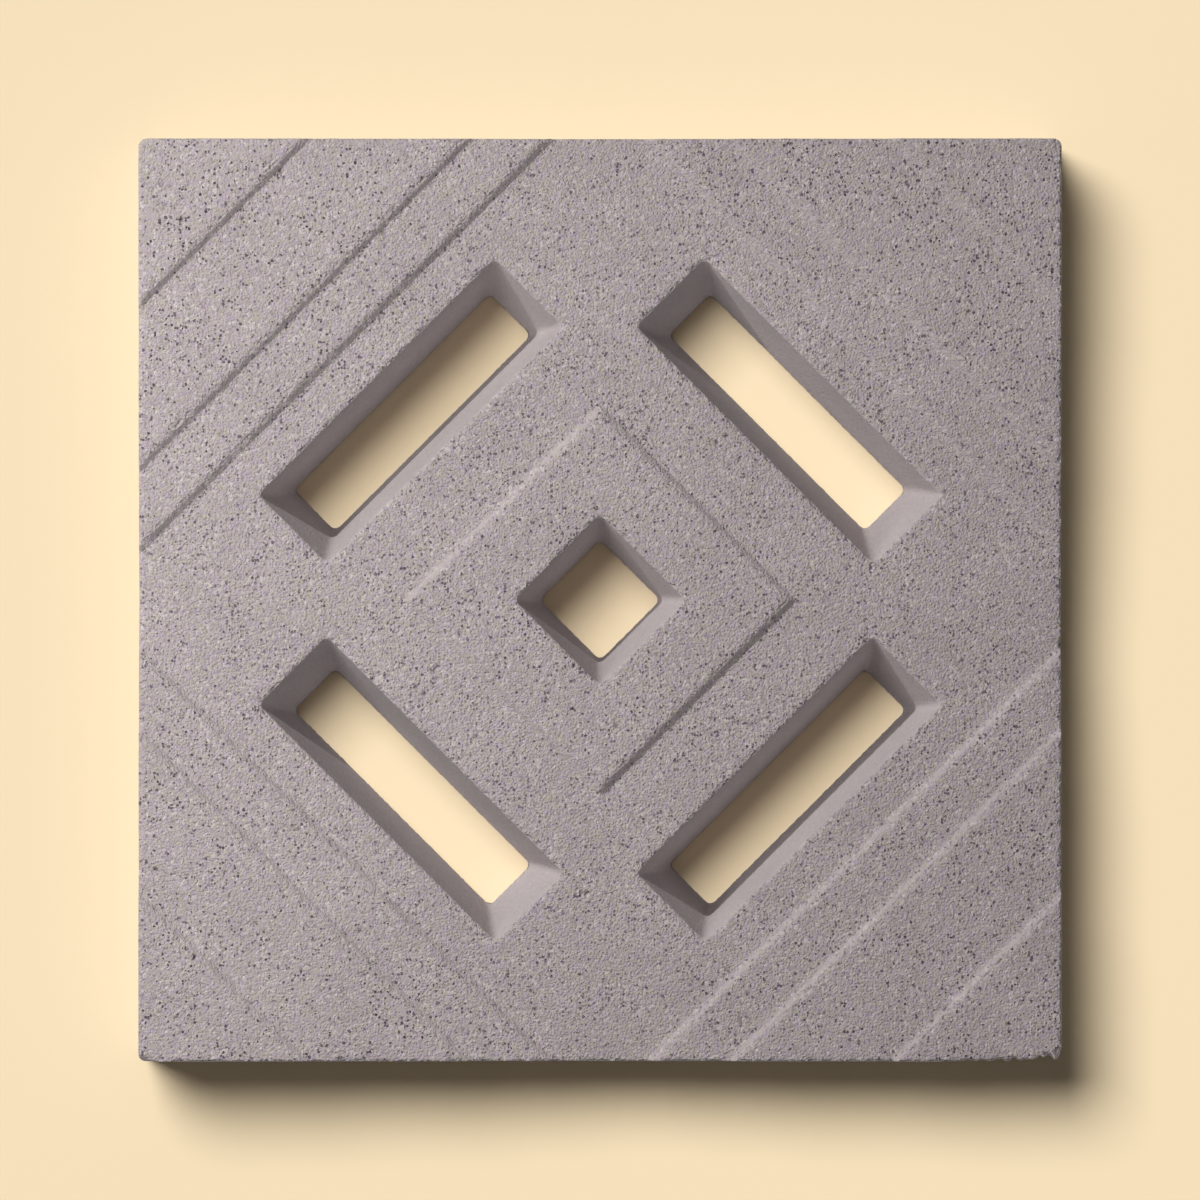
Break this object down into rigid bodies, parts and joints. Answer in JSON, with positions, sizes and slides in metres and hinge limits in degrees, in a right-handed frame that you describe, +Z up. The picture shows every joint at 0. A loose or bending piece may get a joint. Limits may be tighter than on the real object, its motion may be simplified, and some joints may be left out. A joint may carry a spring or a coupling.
{
  "type": "stepping stone",
  "caption": "Square cast-stone stepping stone, pierced by a centre lozenge and a diamond ring of tapered slots, its face stepped up to the corners. Laid flat in a path or lawn.",
  "frame": {"origin": "centre of the underside, on the ground", "axes": "+Z up through the face, X and Y along the slab's sides"},
  "size_m": [0.305, 0.305, 0.038],
  "materials": {
    "cast_stone": "sand-textured warm grey cast stone, smooth in the openings"
  },
  "bodies": {
    "root": {"stepping_stone": "cast_stone"}
  },
  "joints": []
}
